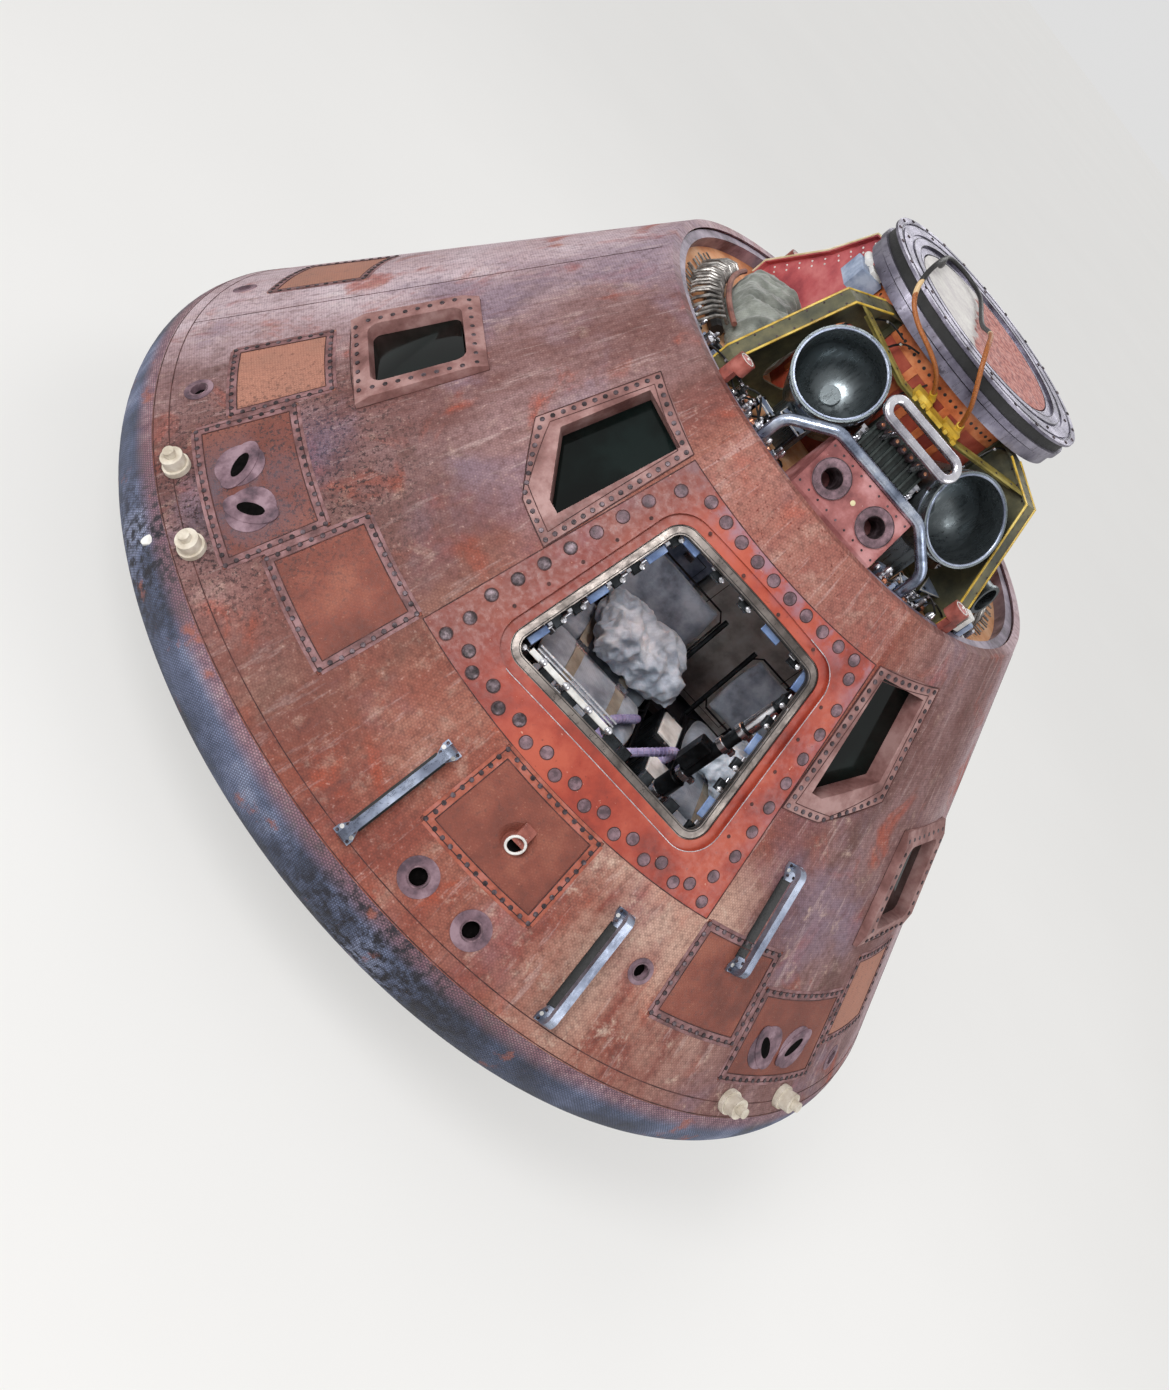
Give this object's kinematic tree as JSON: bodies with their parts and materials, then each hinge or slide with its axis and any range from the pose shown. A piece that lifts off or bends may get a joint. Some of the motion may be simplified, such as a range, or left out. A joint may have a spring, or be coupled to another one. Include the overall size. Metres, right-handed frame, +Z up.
{
  "type": "space capsule",
  "caption": "Conical crewed space capsule with heat shield, side hatch opening, window ports, cabin couches and an open forward bay under a docking ring.",
  "frame": {"origin": "centre of the aft heat shield's lowest face, on the floor", "axes": "+Z up the capsule's axis towards the docking ring, side hatch towards -Y"},
  "size_m": [3.9116, 3.9116, 2.8276],
  "materials": {
    "ablator": "weathered ablator, fine honeycomb",
    "aft_ablator": "scorched ablator, honeycomb",
    "cabin_metal": "matt",
    "cable_sheath": "woven sheath",
    "canvas": "woven canvas",
    "cap_paint": "matt",
    "console_grey": "matt",
    "couch_fabric": "woven",
    "dark_metal": "satin",
    "deck_insulation": "matt",
    "engine_box_paint": "matt",
    "fin_metal": "matt black",
    "forward_hatch_cover": "worn ablator",
    "gusset_metal": "olive primer with bare edges",
    "handhold_metal": "polished",
    "inset_panel": "weathered ablator",
    "mortar_metal": "brushed",
    "nozzle_liner": "matt",
    "peg_white": "matt",
    "rail_metal": "worn",
    "red_frame": "weathered ablator",
    "rim_metal": "satin",
    "ring_metal": "worn",
    "scoop_orange": "matt",
    "seal_metal": "satin",
    "tube_metal": "satin",
    "tunnel_paint": "matt primer",
    "window_frame": "weathered",
    "window_glass": "clear, dark behind",
    "yellow_metal": "satin"
  },
  "bodies": {
    "capsule": {"ablator_pegs": "peg_white", "access_panel_left": "inset_panel", "access_panel_right": "inset_panel", "aft_heat_shield": "aft_ablator", "cabin_floor": "cabin_metal", "canvas_pouch_left": "canvas", "canvas_pouch_right": "canvas", "cone_panel_brow": "ablator", "cone_panel_front": "ablator", "cone_panel_left": "ablator", "cone_panel_left_rear": "ablator", "cone_panel_right": "ablator", "cone_panel_right_rear": "ablator", "couch_centre": "couch_fabric", "couch_frame": "dark_metal", "couch_left": "couch_fabric", "couch_right": "couch_fabric", "docking_ring": "ring_metal", "engine_box": "engine_box_paint", "finned_unit": "fin_metal", "forward_deck": "deck_insulation", "forward_rim": "rim_metal", "grab_tube": "tube_metal", "gusset_caps": "cap_paint", "gusset_front_left": "gusset_metal", "gusset_front_right": "gusset_metal", "gusset_rear_left": "gusset_metal", "gusset_rear_right": "gusset_metal", "handhold_loop": "handhold_metal", "handrail_left": "rail_metal", "handrail_right": "rail_metal", "handrail_upper_right": "rail_metal", "hatch_frame": "red_frame", "hatch_seal": "seal_metal", "main_console": "console_grey", "mortar_left": "mortar_metal", "mortar_right": "mortar_metal", "pilot_mortar": "mortar_metal", "pitch_nozzles": "nozzle_liner", "recovery_cable": "cable_sheath", "rendezvous_window_frame_left": "window_frame", "rendezvous_window_frame_right": "window_frame", "roll_nozzles_left": "nozzle_liner", "roll_nozzles_right": "nozzle_liner", "roll_panel_left": "inset_panel", "roll_panel_right": "inset_panel", "scoop_panel": "inset_panel", "shoulder_beam": "gusset_metal", "side_panels": "inset_panel", "side_window_frame_left": "window_frame", "side_window_frame_right": "window_frame", "stepped_bracket": "yellow_metal", "tunnel": "tunnel_paint", "upper_panels": "inset_panel", "vent_right": "nozzle_liner", "vent_scoop": "scoop_orange", "window_panes_left": "window_glass", "window_panes_right": "window_glass", "yaw_nozzles": "nozzle_liner"},
    "forward_hatch": {"forward_hatch": "forward_hatch_cover"}
  },
  "joints": [
    {"name": "forward_hatch_slide", "type": "slide", "parent": "capsule", "child": "forward_hatch", "axis": [0, 0, 1], "range_m": [-0.75, 0]}
  ]
}
